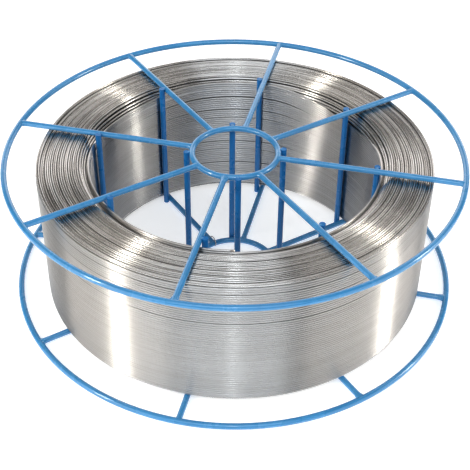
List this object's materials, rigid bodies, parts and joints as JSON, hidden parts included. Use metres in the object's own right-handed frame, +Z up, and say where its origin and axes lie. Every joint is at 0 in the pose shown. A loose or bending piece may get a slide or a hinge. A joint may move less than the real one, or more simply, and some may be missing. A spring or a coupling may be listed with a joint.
{
  "type": "spool of stainless welding wire",
  "caption": "Round welded wire basket spool with two spoked flanges and an open hub, wound full of bright stainless welding wire in level layers.",
  "frame": {"origin": "on the spool's axis, at the level of the surface that the lower flange stands on", "axes": "+Z up along the spool's axis, +X along the first spoke of both flanges"},
  "size_m": [0.3, 0.3, 0.1],
  "materials": {
    "blue_paint": "gloss",
    "stainless_wire": "bright drawn"
  },
  "bodies": {
    "root": {"rim_ring_lower": "blue_paint", "rim_ring_upper": "blue_paint", "hub_ring_lower": "blue_paint", "hub_ring_upper": "blue_paint", "spoke_lower_1": "blue_paint", "spoke_lower_2": "blue_paint", "spoke_lower_3": "blue_paint", "spoke_lower_4": "blue_paint", "spoke_lower_5": "blue_paint", "spoke_lower_6": "blue_paint", "spoke_lower_7": "blue_paint", "spoke_lower_8": "blue_paint", "spoke_upper_1": "blue_paint", "spoke_upper_2": "blue_paint", "spoke_upper_3": "blue_paint", "spoke_upper_4": "blue_paint", "spoke_upper_5": "blue_paint", "spoke_upper_6": "blue_paint", "spoke_upper_7": "blue_paint", "spoke_upper_8": "blue_paint", "coil_post_1": "blue_paint", "coil_post_2": "blue_paint", "coil_post_3": "blue_paint", "coil_post_4": "blue_paint", "coil_post_5": "blue_paint", "coil_post_6": "blue_paint", "coil_post_7": "blue_paint", "coil_post_8": "blue_paint", "hub_post_1": "blue_paint", "hub_post_2": "blue_paint", "hub_post_3": "blue_paint", "hub_post_4": "blue_paint", "wire_coil": "stainless_wire"}
  },
  "joints": []
}
